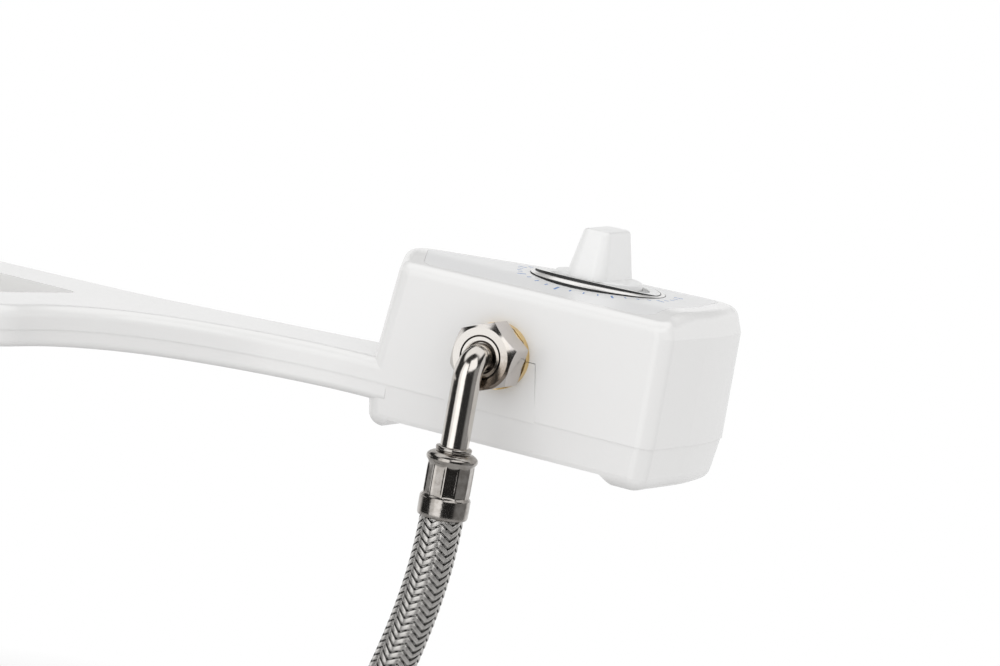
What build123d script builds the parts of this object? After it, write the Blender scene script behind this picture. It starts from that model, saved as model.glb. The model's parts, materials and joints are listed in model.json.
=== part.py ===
from build123d import *
import math
import os

# ------------------------------------------------------------------
# Mechanical bidet attachment: a flat two-shell plate that is clamped
# under a toilet seat, an arm, a control box with a rotary valve, a
# telescopic spray nozzle and a braided supply hose.
# Millimetres.  +X seated user's right, +Y forward, +Z up.
# Origin: midpoint of the two seat bolts, on the plate's underside.
# ------------------------------------------------------------------

# driving dimensions
PLATE_T = 15.8            # plate thickness
PART_Z = 7.0              # parting plane between the two shells
WALL = 2.3                # shell wall
BOX_TOP = 57.0            # top of the control box
BOX_BOT = -9.8            # underside of the control box
REAR_Y = 38.5             # rear face of the control box
SHOULDER_Y = 57.0         # where the rear shoulder meets the flat top
SHOULDER_DROP = 3.2       # drop of the shoulder at its rear end
BOLT_SPACING = 140.0      # seat bolt spacing
SLOT_W, SLOT_L = 12.6, 30.0
INLET_X, INLET_Z = 270.0, 28.0
KNOB_X, KNOB_Y = 285.0, 82.0
RING_R = 25.8             # bezel ring outer radius
NUT_AF = 24.0             # swivel nut across flats
PIPE_R = 5.3              # elbow pipe
PIPE_Y = 14.4             # vertical run of the elbow
HOSE_D = 16.0             # braided hose
COIL_R = 88.0             # mean radius of the put-away coil
COIL_C = (164.0, -218.0)  # coil centre (x, z)
COIL_SHIFT = -17.0        # second pass lies beside the first
NOZ_TILT = 50.0           # spray nozzle below the horizontal
NOZ_P = (0.0, 52.0, -8.0) # point on the nozzle axis
NOZ_TRAVEL = 24.0

os.makedirs("parts", exist_ok=True)
OUT = {}


# ---------- helpers -----------------------------------------------
def lines_of(pts):
    n = len(pts)
    return [((pts[i][0], pts[i][1]), (pts[(i + 1) % n][0], pts[(i + 1) % n][1])) for i in range(n)]


def meet(a, b):
    (x1, y1), (x2, y2) = a
    (x3, y3), (x4, y4) = b
    d = (x1 - x2) * (y3 - y4) - (y1 - y2) * (x3 - x4)
    p = x1 * y2 - y1 * x2
    q = x3 * y4 - y3 * x4
    return ((p * (x3 - x4) - (x1 - x2) * q) / d, (p * (y3 - y4) - (y1 - y2) * q) / d)


def inset(pts, ds, grow_r=True):
    """Move every side of a CCW polygon inwards; ds is one number or one per side."""
    n = len(pts)
    if not isinstance(ds, (list, tuple)):
        ds = [ds] * n
    ls = []
    for (p, q), d in zip(lines_of(pts), ds):
        ux, uy = q[0] - p[0], q[1] - p[1]
        m = math.hypot(ux, uy)
        nx, ny = -uy / m * d, ux / m * d
        ls.append(((p[0] + nx, p[1] + ny), (q[0] + nx, q[1] + ny)))
    out = []
    for i in range(n):
        x, y = meet(ls[i - 1], ls[i])
        a, b = pts[i - 1], pts[(i + 1) % n]
        c = pts[i]
        cross = (c[0] - a[0]) * (b[1] - c[1]) - (c[1] - a[1]) * (b[0] - c[0])
        d = 0.5 * (ds[i - 1] + ds[i])
        r = c[2]
        if grow_r and r > 0:
            r = max(r - d, 0.6) if cross > 0 else r + d
        out.append((x, y, r))
    return out


def outline(pts, plane=Plane.XY):
    """Closed wire of a polygon with a tangent arc at every corner that has a radius."""
    n = len(pts)
    ends = []
    for i in range(n):
        a, c, b = pts[i - 1], pts[i], pts[(i + 1) % n]
        if c[2] <= 0:
            ends.append(((c[0], c[1]), None, (c[0], c[1])))
            continue
        v1 = (a[0] - c[0], a[1] - c[1])
        v2 = (b[0] - c[0], b[1] - c[1])
        m1, m2 = math.hypot(*v1), math.hypot(*v2)
        u1, u2 = (v1[0] / m1, v1[1] / m1), (v2[0] / m2, v2[1] / m2)
        ang = math.acos(max(-1, min(1, u1[0] * u2[0] + u1[1] * u2[1])))
        t = c[2] / math.tan(ang / 2)
        p1 = (c[0] + u1[0] * t, c[1] + u1[1] * t)
        p2 = (c[0] + u2[0] * t, c[1] + u2[1] * t)
        bx, by = u1[0] + u2[0], u1[1] + u2[1]
        mb = math.hypot(bx, by)
        h = c[2] / math.sin(ang / 2) - c[2]
        mid = (c[0] + bx / mb * h, c[1] + by / mb * h)
        ends.append((p1, mid, p2))
    edges = []
    for i in range(n):
        p1, mid, p2 = ends[i]
        if mid is not None:
            edges.append(Edge.make_three_point_arc(Vector(*p1), Vector(*mid), Vector(*p2)))
        q = ends[(i + 1) % n][0]
        if math.hypot(q[0] - p2[0], q[1] - p2[1]) > 1e-6:
            edges.append(Edge.make_line(Vector(*p2), Vector(*q)))
    w = Wire(edges)
    return plane.from_local_coords(w) if plane is not Plane.XY else w


def face(pts, z=0.0):
    return Pos(0, 0, z) * Face(outline(pts))


def prism(pts, z0, z1):
    return extrude(face(pts, z0), z1 - z0, dir=(0, 0, 1))


def cyl(r, p, d, length):
    """Cylinder from point p along direction d."""
    return Solid.make_cylinder(r, length, Plane(origin=p, z_dir=d))


def cone(r0, r1, p, d, length):
    return Solid.make_cone(r0, r1, length, Plane(origin=p, z_dir=d))


def box(x0, x1, y0, y1, z0, z1):
    return Solid.make_box(x1 - x0, y1 - y0, z1 - z0, Plane(origin=(x0, y0, z0)))


def yz_prism(pts, x0, x1):
    """Extrude a polygon given in (y, z) along X."""
    w = Wire.make_polygon([Vector(x0, y, z) for y, z in pts], close=True)
    return extrude(Face(w), x1 - x0, dir=(1, 0, 0))


def try_fillet(solid, edges, r, label):
    for k in (1.0, 0.8, 0.6, 0.4):
        try:
            s = fillet(edges, r * k)
            s = s.solids()[0] if len(s.solids()) == 1 else s
            if s.is_valid:
                if k < 1:
                    print("fillet", label, "reduced to", r * k)
                return s
        except Exception:
            pass
    print("fillet", label, "left out")
    return solid


def one(shape, label):
    s = shape.solids()
    if len(s) != 1:
        s = sorted(s, key=lambda q: -q.volume)
        print("  ", label, "has", len(s), "solids:", [round(q.volume, 2) for q in s])
        return s[0]
    return s[0]


def put(name, shape):
    OUT[name] = shape


# ---------- outlines ----------------------------------------------
PLATE = [
    (-108, -62, 20), (111.5, -62, 20), (117.5, -22, 80), (135, 8, 75), (172, 31, 140), (205, REAR_Y, 85),
    (246, REAR_Y, 0), (246, 80, 0), (268, 101.5, 0),
    (110, 54.5, 150), (28, 47.5, 10), (26, 82, 12), (-26, 82, 12), (-28, 47.5, 10),
    (-108, 60, 26), (-117, 8, 60),
]
BOX = [
    (218.3, REAR_Y, 7), (335.6, REAR_Y, 6), (338.2, 84, 150),
    (334.2, 121.5, 16), (272, 115, 30), (204.3, 70, 14),
]
OPEN_R = [(42, -28, 8), (91.5, -28, 8), (100.5, 18.6, 5), (42, 17.9, 2.5)]
OPEN_L = [(-x, y, r) for x, y, r in reversed(OPEN_R)]

# sides of BOX: rear, right rear, right front, front, left front, left
TOP_IN = [0.0, 0.0, 0.0, 1.0, 4.5, 5.0]
BOT_IN = [1.4, 1.2, 1.5, 4.0, 4.0, 2.4]


BREAK_Z = 48.0            # above this the right end leans in
BREAK_IN = [0.0, 3.2, 3.2, 1.0, 4.5, 5.0]


def loft_top(extra=0.0):
    """Upper part of the box: straight right end, leaning in above BREAK_Z."""
    a = inset(BOX, extra) if extra else BOX
    k = (BREAK_Z - PART_Z) / (BOX_TOP - PART_Z)
    m = inset(a, [t * k for t in TOP_IN], grow_r=False)
    b = inset(a, BREAK_IN, grow_r=False)
    return Solid.make_loft([outline(a).moved(Location((0, 0, PART_Z))), outline(m).moved(Location((0, 0, BREAK_Z))),
                            outline(b).moved(Location((0, 0, BOX_TOP)))], True)


def loft_box(poly, z0, z1, ins, extra=0.0):
    a = inset(poly, extra) if extra else poly
    b = inset(a, ins, grow_r=False)
    return Solid.make_loft([outline(a).moved(Location((0, 0, z0))), outline(b).moved(Location((0, 0, z1)))], True)


def top_limit(down=0.0):
    """Everything under the box's top surface, lowered by `down`."""
    z = BOX_TOP - down
    k = SHOULDER_DROP / (SHOULDER_Y - REAR_Y - 3.5)
    y0 = REAR_Y - 20
    return yz_prism([(y0, -60), (y0, z - k * (SHOULDER_Y - y0)), (SHOULDER_Y, z), (140, z), (140, -60)], 150, 360)


# ---------- control box and plate, outer shapes --------------------
def outer_edges(solid, z, x_end=244.0):
    """Edges of the plate's outline at height z, without the ones buried in the box."""
    out = []
    for e in solid.edges():
        vs = e.vertices()
        if all(abs(v.Z - z) < 1e-4 for v in vs) and not all(v.X > x_end for v in vs):
            out.append(e)
    return out


plate_u = prism(PLATE, PART_Z, PLATE_T).solids()[0]
plate_u = try_fillet(plate_u, outer_edges(plate_u, PLATE_T), 4.2, "plate top")
# the lower shell stands back a little, so the parting line shows
STEP_IN = 0.35
plate_low = [(min(x, 226.0), y, r) if r == 0 and x < 250 else (x, y, r) for x, y, r in inset(PLATE, STEP_IN, False)]
plate_l = prism(plate_low, 0, PART_Z).solids()[0]
plate_l = try_fillet(plate_l, outer_edges(plate_l, 0, 225.0), 2.8, "plate bottom")

box_u = one(loft_top() & top_limit(), "box top")
crease = [e for e in box_u.edges() if abs(e.center().Y - SHOULDER_Y) < 0.2 and abs(e.center().Z - BOX_TOP) < 0.2]
box_crown = try_fillet(box_u, crease, 60, "crease")


def rim_edges(s):
    out = []
    for e in s.edges():
        vs = e.vertices()
        if min(v.Z for v in vs) < BOX_TOP - 6.5 or e.center().Z < BOX_TOP - 6.5:
            continue
        if e.length > 60 and abs(e.center().Y - SHOULDER_Y) < 9 and abs(vs[0].Y - vs[1].Y) < 0.5:
            continue
        out.append(e)
    return out


box_u = try_fillet(box_crown, rim_edges(box_crown), 4.6, "box rim")

box_l = loft_box(inset(BOX, STEP_IN, False), PART_Z, BOX_BOT, BOT_IN)
low = [e for e in box_l.edges() if all(abs(v.Z - BOX_BOT) < 1e-4 for v in e.vertices())]
box_l = try_fillet(box_l, low, 7.0, "box bottom")
# shallow recess across the underside leaves a rail at each end
under = Wire.make_polygon([Vector(223.5, 20, -12), Vector(223.5, 20, BOX_BOT - 0.5), Vector(228.5, 20, -6.3),
                           Vector(317.5, 20, -6.3), Vector(322.5, 20, BOX_BOT - 0.5), Vector(322.5, 20, -12)], close=True)
box_l = one(box_l - extrude(Face(under), 120, dir=(0, 1, 0)), "box bottom recess")

# ---------- shells -------------------------------------------------
COLLAR = 2.0
cav_plate_pts = inset(PLATE, WALL)
collar_r = prism(inset(OPEN_R, -COLLAR), -1, 20)
collar_l = prism(inset(OPEN_L, -COLLAR), -1, 20)

PLATE_SCREWS = [(-90, -46), (0, -46), (90, -46), (-88, 44), (0, 14), (150, 33)]
BOX_SCREWS = [(242, 49), (310, 49), (304, 106)]

# tongue of the lower shell that closes the inlet hole from below
TONGUE = [(251, 6.9), (289, 6.9), (285, INLET_Z), (255, INLET_Z)]


def xz_prism(pts, y0, y1):
    w = Wire.make_polygon([Vector(x, y0, z) for x, z in pts], close=True)
    return extrude(Face(w), y1 - y0, dir=(0, 1, 0))


GAP = 0.25
upper = plate_u + box_u
upper -= (prism(cav_plate_pts, PART_Z - 1, PLATE_T - WALL) - collar_r - collar_l)
upper -= (loft_top(WALL) & top_limit(2.6))
upper -= prism(OPEN_R, 0, 20)
upper -= prism(OPEN_L, 0, 20)
for x, y in PLATE_SCREWS:
    upper += cyl(3.6, (x, y, PART_Z), (0, 0, 1), PLATE_T - PART_Z - 1.2)
    upper -= cyl(1.45, (x, y, PART_Z - 1), (0, 0, 1), 5.0)
for x, y in BOX_SCREWS:
    upper += cyl(3.8, (x, y, PART_Z), (0, 0, 1), BOX_TOP - PART_Z - 2.6 + (0.8 if y > 60 else -0.4))
    upper -= cyl(1.45, (x, y, PART_Z - 1), (0, 0, 1), 12.0)
upper -= cyl(8.6, (INLET_X, REAR_Y - 1, INLET_Z), (0, 1, 0), 6)
upper -= xz_prism([(TONGUE[0][0] - GAP, 5.0), (TONGUE[1][0] + GAP, 5.0), (TONGUE[2][0] + GAP, INLET_Z + GAP),
                   (TONGUE[3][0] - GAP, INLET_Z + GAP)], REAR_Y - 0.5, REAR_Y + WALL + 0.05)
# bonnet hole, ring seat and label recess in the top
LABEL = [(x, y, 6.0) for x, y, r in inset(inset(BOX, TOP_IN, False), [5.6, 12.0, 12.0, 6.0, 7.0, 8.0], False)]
crown_low = box_crown.moved(Location((0, 0, -0.35)))
recess = prism([(x, y, 6.0) for x, y, r in inset(LABEL, -0.12, False)], 40, 62) - crown_low
upper -= recess
upper -= cyl(RING_R + 0.15, (KNOB_X, KNOB_Y, 55.9), (0, 0, 1), 5)
upper -= cyl(11.2, (KNOB_X, KNOB_Y, 50), (0, 0, 1), 10)
upper = one(upper, "upper_casing")
put("upper_casing", upper)

label = (box_crown & prism(LABEL, 40, 62)) - crown_low
label -= cyl(RING_R + 0.3, (KNOB_X, KNOB_Y, 40), (0, 0, 1), 30)
put("panel_label", one(label, "panel_label"))

FLOOR = -3.2
lower = plate_l + box_l
lower -= (prism(cav_plate_pts, WALL, PART_Z + 1) - collar_r - collar_l)
lower -= (loft_box(BOX, PART_Z, BOX_BOT, BOT_IN, WALL) & box(190, 350, 30, 130, FLOOR, PART_Z + 0.001))
for pts in (OPEN_R, OPEN_L):
    lower -= prism(pts, -1, 4.3)
lip_r = inset(OPEN_R, [0.0, 7.0, 0.0, 4.0], False)
lip_l = [(-x, y, r) for x, y, r in reversed(lip_r)]
lower -= prism(lip_r, 3, 8)
lower -= prism(lip_l, 3, 8)
for x, y in PLATE_SCREWS:
    lower += cyl(3.6, (x, y, 1.0), (0, 0, 1), PART_Z - 1.0)
    lower -= cyl(1.7, (x, y, -1), (0, 0, 1), 10)
    lower -= cyl(3.1, (x, y, -1), (0, 0, 1), 3.0)
for x, y in BOX_SCREWS:
    lower += cyl(3.8, (x, y, FLOOR - 1), (0, 0, 1), PART_Z - FLOOR + 1)
    lower -= cyl(1.7, (x, y, -12), (0, 0, 1), 30)
    lower -= cyl(3.1, (x, y, -12), (0, 0, 1), 8.5)
tong = xz_prism([(251, 6.3), (289, 6.3), TONGUE[1], TONGUE[2], TONGUE[3], TONGUE[0]], REAR_Y, REAR_Y + WALL)
tong -= cyl(8.6, (INLET_X, REAR_Y - 1, INLET_Z), (0, 1, 0), 6)
lower += tong
# hole for the nozzle housing
NECK = (-11.0, 11.0, 46.0, 66.0)
lower -= box(NECK[0] - 0.2, NECK[1] + 0.2, NECK[2] - 0.2, NECK[3] + 0.2, -2, 5)
HOUSE_SCREWS = [(-14.2, 52), (14.2, 52), (-14.2, 68), (14.2, 68)]
for x, y in HOUSE_SCREWS:
    lower -= cyl(1.25, (x, y, 0.5), (0, 0, 1), 6)
PADS = [(-34, -50), (34, -50), (-34, 38), (34, 38)]
for x, y in PADS:
    lower -= cyl(6.0, (x, y, -1), (0, 0, 1), 1.7)
lower = one(lower, "lower_casing")
put("lower_casing", lower)

put("rim_pads", Compound([cyl(6.0, (x, y, -0.9), (0, 0, 1), 1.6) for x, y in PADS]))

screws = []
for x, y in PLATE_SCREWS:
    screws.append(one(cone(2.9, 1.45, (x, y, 0.5), (0, 0, 1), 1.45) + cyl(1.45, (x, y, 1.9), (0, 0, 1), 8.6), "screw"))
for x, y in BOX_SCREWS:
    screws.append(one(cyl(2.9, (x, y, -5.3), (0, 0, 1), 1.8) + cyl(1.45, (x, y, -3.6), (0, 0, 1), 20.0), "screw"))
put("casing_screws", Compound(screws))

# ---------- adjusting plates ---------------------------------------
for side, name in ((1, "adjusting_plate_right"), (-1, "adjusting_plate_left")):
    cx = side * BOLT_SPACING / 2
    xs = sorted([side * 42.6, side * 88.6])
    pl = prism([(xs[0], -12.5, 2.5), (xs[1], -12.5, 2.5), (xs[1], 12.5, 2.5), (xs[0], 12.5, 2.5)], 0.0, 4.0)
    half = SLOT_L / 2 - SLOT_W / 2
    pl -= prism([(cx - SLOT_L / 2, -SLOT_W / 2, SLOT_W / 2 - 0.0005), (cx + SLOT_L / 2, -SLOT_W / 2, SLOT_W / 2 - 0.0005),
                 (cx + SLOT_L / 2, SLOT_W / 2, SLOT_W / 2 - 0.0005), (cx - SLOT_L / 2, SLOT_W / 2, SLOT_W / 2 - 0.0005)], -1, 6)
    put(name, one(pl, name))

# ---------- rotary valve -------------------------------------------
K = (KNOB_X, KNOB_Y)


def vcyl(r, z0, z1):
    return cyl(r, (K[0], K[1], z0), (0, 0, 1), z1 - z0)


valve = vcyl(16.0, 8.0, 54.2) + vcyl(10.6, 54.0, 57.3)
valve += cyl(8.5, (INLET_X, 59.0, INLET_Z), (0, 1, 0), 23)
for y in (72.0, 84.0):
    valve += cyl(3.6, (274, y, 13.5), (-1, 0, 0), 12)
    valve += cyl(2.2, (264, y, 13.5), (-1, 0, 0), 10)
valve -= vcyl(12.5, 12.0, 48.0)
valve -= vcyl(4.06, 40.0, 62.0)
valve -= vcyl(6.6, 50.0, 53.0)
valve -= cyl(5.0, (INLET_X, 55.0, INLET_Z), (0, 1, 0), 27)
valve -= cyl(6.2, (INLET_X, 58.0, INLET_Z), (0, 1, 0), 7)
for y in (72.0, 84.0):
    valve -= cyl(1.4, (280, y, 13.5), (-1, 0, 0), 40)
put("valve_body", one(valve, "valve_body"))
put("bonnet_nut", one(vcyl(14.5, 55.95, 57.3) - vcyl(10.6, 50, 62), "bonnet_nut"))
fixed = vcyl(12.5, 33.0, 36.5)
for a in (20, 140, 260):
    fixed -= cyl(2.4, (K[0] + 7 * math.cos(math.radians(a)), K[1] + 7 * math.sin(math.radians(a)), 30), (0, 0, 1), 10)
put("fixed_disc", one(fixed, "fixed_disc"))
moving = vcyl(11.8, 36.55, 40.0) - cyl(3.2, (K[0] + 6, K[1] + 2, 34), (0, 0, 1), 4.6)
moving -= box(K[0] - 8, K[0] + 8, K[1] - 1.6, K[1] + 1.6, 38.2, 41)
put("moving_disc", one(moving, "moving_disc"))
stem = vcyl(9.0, 40.0, 43.0) + vcyl(4.0, 42.0, 74.0)
stem += box(K[0] - 7.95, K[0] + 7.95, K[1] - 1.55, K[1] + 1.55, 38.25, 41)
stem -= box(K[0] + 2.9, K[0] + 6, K[1] - 6, K[1] + 6, 62.0, 76)
put("valve_stem", one(stem, "valve_stem"))
put("stem_o_ring", one(vcyl(6.5, 50.2, 52.8) - vcyl(4.0, 50, 53), "stem_o_ring"))

# ---------- knob ---------------------------------------------------
KNOB_R = 16.8
DISC_Z0, DISC_Z1, GRIP_Z0, GRIP_Z = 57.45, 60.0, 59.65, 78.0
GRIP_ANGLE = 93.0
disc = vcyl(KNOB_R, DISC_Z0, DISC_Z1)
rim = [e for e in disc.edges() if e.geom_type == GeomType.CIRCLE and abs(e.center().Z - DISC_Z1) < 1e-3]
disc = try_fillet(disc, rim, 0.7, "knob disc")


def bar(l, w, r, z):
    pts = [(-l / 2, -w / 2, r), (l / 2, -w / 2, r), (l / 2, w / 2, r), (-l / 2, w / 2, r)]
    return outline(pts).moved(Location((K[0], K[1], z), (0, 0, GRIP_ANGLE)))


grip = Solid.make_loft([bar(35.4, 16.6, 5.6, GRIP_Z0), bar(25.4, 10.8, 3.4, GRIP_Z)], True)
tops = [e for e in grip.edges() if all(abs(v.Z - GRIP_Z) < 1e-4 for v in e.vertices())]
grip = try_fillet(grip, tops, 1.6, "grip top")
knob = disc + grip
knob -= (vcyl(4.0, 50, 74.0) - box(K[0] + 2.9, K[0] + 6, K[1] - 6, K[1] + 6, 62.0, 76))
put("knob", one(knob, "knob"))


def turned(profile, origin, z_dir):
    """Solid of revolution from (radius, height) pairs."""
    pl = Plane(origin=origin, z_dir=z_dir)
    w = Wire.make_polygon([Vector(r, 0, z) for r, z in profile], close=True)
    s = revolve(Face(w), Axis.Z, 360)
    return one(pl.location * s, "turned")


# bezel ring: low at the user's side, rising to the rear, with a bevelled foot; a wiper seal fills the gap to the knob
BEZ_IN, BEZ_TOP_R, BEZ_Z, BEZ_SLOPE = 19.8, 24.2, 57.6, 0.106
ring = turned([(BEZ_IN, 55.95), (RING_R, 55.95), (RING_R, 57.2), (RING_R - 0.3, 57.5), (BEZ_IN, 57.5)], (K[0], K[1], 0), (0, 0, 1))
rise = turned([(BEZ_IN, 56.5), (25.2, 56.5), (BEZ_TOP_R, 59.2), (BEZ_TOP_R, 64.0), (BEZ_IN, 64.0)], (K[0], K[1], 0), (0, 0, 1))
under_plane = yz_prism([(K[1] - 40, 50), (K[1] - 40, BEZ_Z + 40 * BEZ_SLOPE), (K[1] + 40, BEZ_Z - 40 * BEZ_SLOPE), (K[1] + 40, 50)],
                       K[0] - 40, K[0] + 40)
ring = ring + (rise & under_plane)
put("knob_seal", turned([(KNOB_R + 0.3, 55.95), (BEZ_IN - 0.2, 55.95), (BEZ_IN - 0.2, 57.2), (KNOB_R + 0.3, 57.7)], (K[0], K[1], 0), (0, 0, 1)))
put("trim_ring", one(ring, "trim_ring"))

# ---------- water inlet and hose fittings --------------------------
def icyl(r, y0, y1):
    """Cylinder on the inlet axis between two values of y."""
    return cyl(r, (INLET_X, y0, INLET_Z), (0, 1, 0), y1 - y0)


def ihex(af, y0, y1, turn):
    r = af / math.sqrt(3)
    pts = []
    for k in range(6):
        a = math.radians(turn + 60 * k)
        pts.append(Vector(INLET_X + r * math.cos(a), y0, INLET_Z + r * math.sin(a)))
    return extrude(Face(Wire.make_polygon(pts, close=True)), y1 - y0, dir=(0, 1, 0))


conn = icyl(12.5, 35.6, REAR_Y) + icyl(10.3, 27.95, 36) + icyl(8.5, 38, 54) + icyl(6.15, 53, 63.5)
conn -= icyl(5.0, 20, 70)
conn -= icyl(6.2, 20, 33.0)
conn -= (icyl(6.5, 56.0, 58.2) - icyl(4.9 + 0.2, 50, 64))
put("inlet_connector", one(conn, "inlet_connector"))
put("inlet_o_ring", one(icyl(6.2, 56.0, 58.2) - icyl(5.1, 50, 64), "inlet_o_ring"))
put("inlet_lock_nut", one(ihex(24, REAR_Y + WALL + 1.25, 47.0, 0) - icyl(8.5, 30, 60), "inlet_lock_nut"))
put("inlet_gasket", one(icyl(12.5, REAR_Y + WALL + 0.1, REAR_Y + WALL + 1.2) - icyl(8.5, 30, 60), "inlet_gasket"))
filt = icyl(6.2, 31.0, 33.0) - icyl(5.4, 30, 32.2)
put("inlet_filter", one(filt, "inlet_filter"))

NUT_TURN = 21.0
nut = ihex(NUT_AF, 22.5, 35.2, NUT_TURN)
cap_f = cone(11.2, 16.2, (INLET_X, 22.5, INLET_Z), (0, 1, 0), 5.0) + icyl(16.2, 27.4, 40)
nut = nut & cap_f
nut -= icyl(10.35, 24.4, 40)
nut -= icyl(PIPE_R + 0.25, 20, 30)
nut -= (icyl(8.4, 22.0, 23.6) - icyl(7.7, 20, 26))
nut -= icyl(6.6, 22.0, 23.3)
put("swivel_nut", one(nut, "swivel_nut"))

# elbow: seat flange in the nut, tight bend, vertical run into the ferrule
BEND_R = 8.0
FER_TOP = -5.0
ep = [(INLET_X, 26.0, INLET_Z), (INLET_X, PIPE_Y + BEND_R, INLET_Z)]
arc_mid = (INLET_X, PIPE_Y + BEND_R * (1 - math.sin(math.pi / 4)), INLET_Z - BEND_R * (1 - math.cos(math.pi / 4)))
e1 = Edge.make_line(Vector(*ep[0]), Vector(*ep[1]))
e2 = Edge.make_three_point_arc(Vector(*ep[1]), Vector(*arc_mid), Vector(INLET_X, PIPE_Y, INLET_Z - BEND_R))
e3 = Edge.make_line(Vector(INLET_X, PIPE_Y, INLET_Z - BEND_R), Vector(INLET_X, PIPE_Y, FER_TOP - 18))
pw = Wire([e1, e2, e3])


def pipe(wire, r, p, d):
    prof = Plane(origin=p, z_dir=d) * Face(Wire.make_circle(r))
    return Solid.sweep(prof, wire)


elbow = pipe(pw, PIPE_R, ep[0], (0, -1, 0))
elbow = elbow + icyl(9.8, 24.45, 26.4)
elbow -= pipe(pw, 3.8, ep[0], (0, -1, 0))
elbow -= icyl(3.8, 25, 30)
put("elbow_pipe", one(elbow, "elbow_pipe"))
put("hose_washer", one(icyl(9.2, 26.45, 27.9) - icyl(5.5, 20, 40) , "hose_washer"))

# ferrule: collar, flange, crimped body, lower band
FER_BOT = -31.5
prof = [(PIPE_R, FER_TOP), (6.7, FER_TOP), (6.7, FER_TOP - 1.6), (7.6, FER_TOP - 2.2), (9.6, FER_TOP - 4.0),
        (9.6, FER_TOP - 4.8), (8.5, FER_TOP - 6.4), (8.5, FER_TOP - 17.9), (9.5, FER_TOP - 19.1), (9.5, FER_BOT + 1.0),
        (9.0, FER_BOT), (0.0, FER_BOT), (0.0, FER_TOP - 18), (PIPE_R, FER_TOP - 18)]


put("hose_ferrule", turned(prof, (INLET_X, PIPE_Y, 0), (0, 0, 1)))

# ---------- supply hose --------------------------------------------
COIL_START = (COIL_C[0] + COIL_R, PIPE_Y, COIL_C[1])
HOSE_PTS = [(INLET_X, PIPE_Y, FER_BOT), (INLET_X, PIPE_Y, -60.0), (250.0, PIPE_Y, -128.0), (250.4, PIPE_Y, -175.0), COIL_START]


def tube_wire(pts, label):
    radii = []
    for i in range(1, len(pts) - 1):
        a, b, c = Vector(*pts[i - 1]), Vector(*pts[i]), Vector(*pts[i + 1])
        u, v = (b - a), (c - b)
        ang = math.radians(u.get_angle(v))
        radii.append(0.45 * min(u.length, v.length) / math.tan(ang / 2))
    print(label, "bend radii", [round(r, 1) for r in radii])
    return FilletPolyline(*pts, radius=radii).wire()


hw = tube_wire(HOSE_PTS, "braided_hose")
hose = pipe(hw, HOSE_D / 2, HOSE_PTS[0], tuple(Vector(*HOSE_PTS[1]) - Vector(*HOSE_PTS[0])))
print("braided_hose volume / section*length", round(hose.volume / (math.pi * HOSE_D ** 2 / 4 * hw.length), 4), "length", round(hw.length, 1))
put("braided_hose", one(hose, "braided_hose"))

COIL_TURNS = 385.0 / 360.0
COIL_PITCH = 25.0


def coil_point(t):
    """Point of the coil after t turns (clockwise seen from behind, moving towards -Y)."""
    a = -2 * math.pi * t
    return (COIL_C[0] + COIL_R * math.cos(a), PIPE_Y - COIL_PITCH * t, COIL_C[1] + COIL_R * math.sin(a))


def coil_dir(t):
    p, q = coil_point(t - 1e-4), coil_point(t + 1e-4)
    d = Vector(*q) - Vector(*p)
    return d.normalized()


helix = Edge.make_helix(COIL_PITCH, COIL_PITCH * COIL_TURNS, COIL_R, (0, 0, 0), (0, 0, 1), lefthand=True)
hp = Plane(origin=(COIL_C[0], PIPE_Y, COIL_C[1]), x_dir=(1, 0, 0), z_dir=(0, -1, 0))
hx = helix.moved(hp.location)
p_a, p_b = hx.position_at(0), hx.position_at(1)
print("coil ends", [round(v, 2) for v in p_a], [round(v, 2) for v in p_b], "expected", [round(v, 2) for v in coil_point(COIL_TURNS)], "length", round(hx.length, 1))
cprof = Plane(origin=p_a, z_dir=hx.tangent_at(0)) * Face(Wire.make_circle(HOSE_D / 2))
coil = Solid.sweep(cprof, hx, is_frenet=True)
print("hose_coil volume / section*length", round(coil.volume / (math.pi * HOSE_D ** 2 / 4 * hx.length), 4))
put("hose_coil", one(coil, "hose_coil"))

tx, ty, tz = COIL_START
tie = prism([(tx - 9.6, ty - COIL_PITCH - 9.6, 9.0), (tx + 9.6, ty - COIL_PITCH - 9.6, 9.0), (tx + 9.6, ty + 9.6, 9.0),
             (tx - 9.6, ty + 9.6, 9.0)], tz + 2, tz + 9)
tie -= prism([(tx - 8.4, ty - COIL_PITCH - 8.4, 8.0), (tx + 8.4, ty - COIL_PITCH - 8.4, 8.0), (tx + 8.4, ty + 8.4, 8.0),
              (tx - 8.4, ty + 8.4, 8.0)], tz + 1, tz + 10)
put("coil_tie", one(tie, "coil_tie"))

fo = tuple(hx.position_at(1))
fd = tuple(hx.tangent_at(1))
far_prof = [(0, 0), (8.5, 0), (9.0, 1.0), (9.0, 8.3), (8.2, 9.5), (8.2, 20.1), (9.2, 21.7), (9.2, 22.5), (7.6, 24.3), (5.9, 24.7),
            (5.9, 26.5), (0, 26.5)]
put("far_ferrule", turned(far_prof, fo, fd))
nip_prof = [(3.0, 26.5), (4.5, 26.5), (4.5, 31.0), (9.6, 31.0), (9.6, 33.0), (3.0, 33.0)]
put("far_nipple", turned(nip_prof, fo, fd))
fpl = Plane(origin=fo, z_dir=fd)
fr = NUT_AF / math.sqrt(3)
hexw = Wire.make_polygon([Vector(fr * math.cos(math.radians(60 * k)), fr * math.sin(math.radians(60 * k)), 28.0) for k in range(6)], close=True)
fnut = fpl.location * extrude(Face(hexw), 15.0, dir=(0, 0, 1))
fax = Vector(*fd)


def fcyl(r, s0, s1):
    return Solid.make_cylinder(r, s1 - s0, Plane(origin=tuple(Vector(*fo) + fax * s0), z_dir=fd))


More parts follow.
